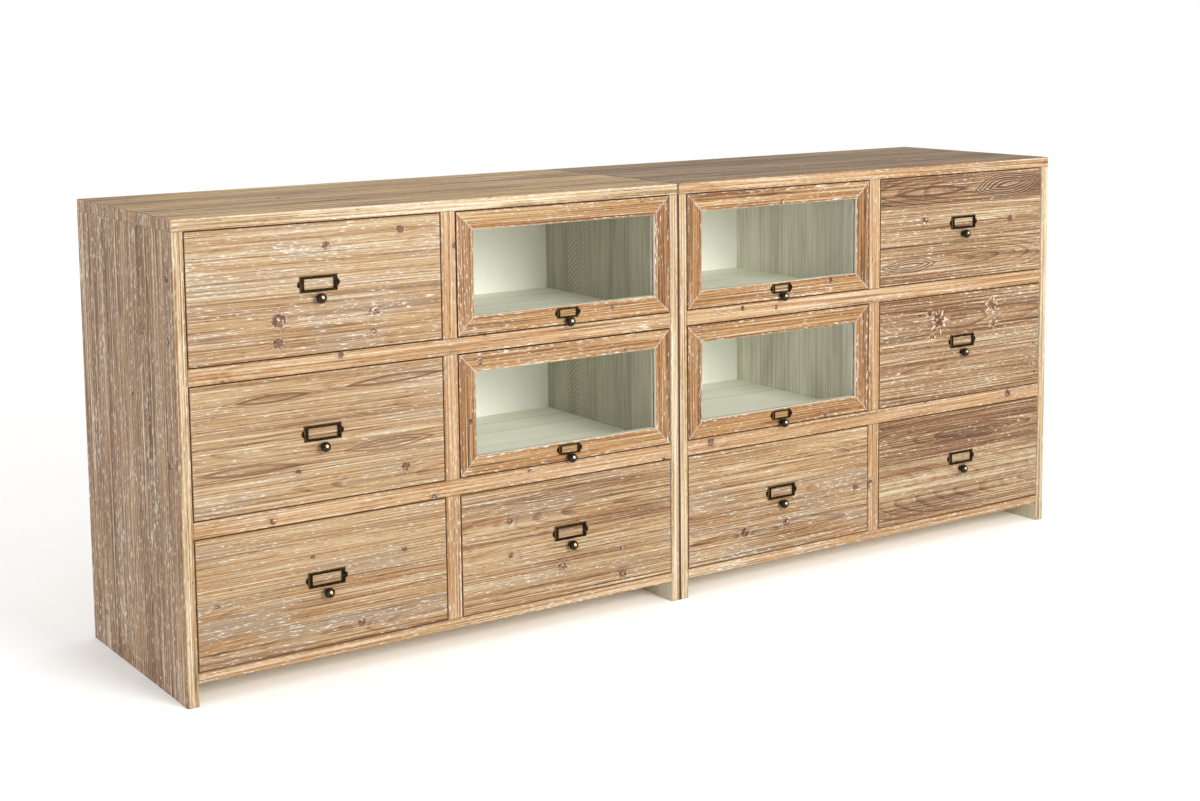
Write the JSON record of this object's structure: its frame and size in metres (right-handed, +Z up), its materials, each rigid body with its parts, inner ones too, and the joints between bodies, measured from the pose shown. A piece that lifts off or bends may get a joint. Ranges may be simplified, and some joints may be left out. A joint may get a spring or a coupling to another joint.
{
  "type": "apothecary chest",
  "caption": "Long low chest of two joined cabinets in limed pine, with inset drawers and lift-up glazed flaps, each with a label holder and a ball knob.",
  "frame": {"origin": "middle of the footprint, knobs included, on the floor", "axes": "+X to the right as seen from the front, +Y to the back, +Z up; the fronts face -Y"},
  "size_m": [2.232, 0.522, 0.9],
  "materials": {
    "limed_pine": "brushed and limed, satin",
    "painted_pine": "thin pale grey-green paint, matt",
    "plain_pine": "planed, bare",
    "antique_brass": "dark antique, rubbed bright on the edges",
    "clear_glass": "clear",
    "steel": "plain"
  },
  "bodies": {
    "case": {"right_outer_side": "limed_pine", "right_inner_side": "limed_pine", "right_top": "limed_pine", "right_deck": "limed_pine", "right_back_panel": "painted_pine", "right_partition": "painted_pine", "right_shelves": "painted_pine", "left_outer_side": "limed_pine", "left_inner_side": "limed_pine", "left_top": "limed_pine", "left_deck": "limed_pine", "left_back_panel": "painted_pine", "left_partition": "painted_pine", "left_shelves": "painted_pine", "front_rails": "limed_pine", "centre_stiles": "limed_pine", "drawer_runners": "plain_pine", "drawer_stops": "plain_pine", "flap_stops": "painted_pine", "joining_bolts": "steel"},
    "right_upper_drawer": {"right_upper_drawer_front": "limed_pine", "right_upper_drawer_box": "plain_pine", "right_upper_drawer_pull": "antique_brass"},
    "right_middle_drawer": {"right_middle_drawer_front": "limed_pine", "right_middle_drawer_box": "plain_pine", "right_middle_drawer_pull": "antique_brass"},
    "right_lower_drawer": {"right_lower_drawer_front": "limed_pine", "right_lower_drawer_box": "plain_pine", "right_lower_drawer_pull": "antique_brass"},
    "right_inner_drawer": {"right_inner_drawer_front": "limed_pine", "right_inner_drawer_box": "plain_pine", "right_inner_drawer_pull": "antique_brass"},
    "right_upper_flap": {"right_upper_flap_frame": "limed_pine", "right_upper_flap_glass": "clear_glass", "right_upper_flap_pull": "antique_brass", "right_upper_flap_pins": "steel"},
    "right_middle_flap": {"right_middle_flap_frame": "limed_pine", "right_middle_flap_glass": "clear_glass", "right_middle_flap_pull": "antique_brass", "right_middle_flap_pins": "steel"},
    "left_upper_drawer": {"left_upper_drawer_front": "limed_pine", "left_upper_drawer_box": "plain_pine", "left_upper_drawer_pull": "antique_brass"},
    "left_middle_drawer": {"left_middle_drawer_front": "limed_pine", "left_middle_drawer_box": "plain_pine", "left_middle_drawer_pull": "antique_brass"},
    "left_lower_drawer": {"left_lower_drawer_front": "limed_pine", "left_lower_drawer_box": "plain_pine", "left_lower_drawer_pull": "antique_brass"},
    "left_inner_drawer": {"left_inner_drawer_front": "limed_pine", "left_inner_drawer_box": "plain_pine", "left_inner_drawer_pull": "antique_brass"},
    "left_upper_flap": {"left_upper_flap_frame": "limed_pine", "left_upper_flap_glass": "clear_glass", "left_upper_flap_pull": "antique_brass", "left_upper_flap_pins": "steel"},
    "left_middle_flap": {"left_middle_flap_frame": "limed_pine", "left_middle_flap_glass": "clear_glass", "left_middle_flap_pull": "antique_brass", "left_middle_flap_pins": "steel"}
  },
  "joints": [
    {"name": "right_upper_drawer_slide", "type": "slide", "parent": "case", "child": "right_upper_drawer", "axis": [0, -1, 0], "range_m": [0, 0.34]},
    {"name": "right_middle_drawer_slide", "type": "slide", "parent": "case", "child": "right_middle_drawer", "axis": [0, -1, 0], "range_m": [0, 0.34]},
    {"name": "right_lower_drawer_slide", "type": "slide", "parent": "case", "child": "right_lower_drawer", "axis": [0, -1, 0], "range_m": [0, 0.34]},
    {"name": "right_inner_drawer_slide", "type": "slide", "parent": "case", "child": "right_inner_drawer", "axis": [0, -1, 0], "range_m": [0, 0.34]},
    {"name": "right_upper_flap_lift", "type": "hinge", "parent": "case", "child": "right_upper_flap", "pos_m": [0.28, -0.231, 0.86], "axis": [-1, 0, 0], "range_deg": [0, 90]},
    {"name": "right_middle_flap_lift", "type": "hinge", "parent": "case", "child": "right_middle_flap", "pos_m": [0.28, -0.231, 0.578], "axis": [-1, 0, 0], "range_deg": [0, 90]},
    {"name": "left_upper_drawer_slide", "type": "slide", "parent": "case", "child": "left_upper_drawer", "axis": [0, -1, 0], "range_m": [0, 0.34]},
    {"name": "left_middle_drawer_slide", "type": "slide", "parent": "case", "child": "left_middle_drawer", "axis": [0, -1, 0], "range_m": [0, 0.34]},
    {"name": "left_lower_drawer_slide", "type": "slide", "parent": "case", "child": "left_lower_drawer", "axis": [0, -1, 0], "range_m": [0, 0.34]},
    {"name": "left_inner_drawer_slide", "type": "slide", "parent": "case", "child": "left_inner_drawer", "axis": [0, -1, 0], "range_m": [0, 0.34]},
    {"name": "left_upper_flap_lift", "type": "hinge", "parent": "case", "child": "left_upper_flap", "pos_m": [-0.28, -0.231, 0.86], "axis": [-1, 0, 0], "range_deg": [0, 90]},
    {"name": "left_middle_flap_lift", "type": "hinge", "parent": "case", "child": "left_middle_flap", "pos_m": [-0.28, -0.231, 0.578], "axis": [-1, 0, 0], "range_deg": [0, 90]}
  ]
}
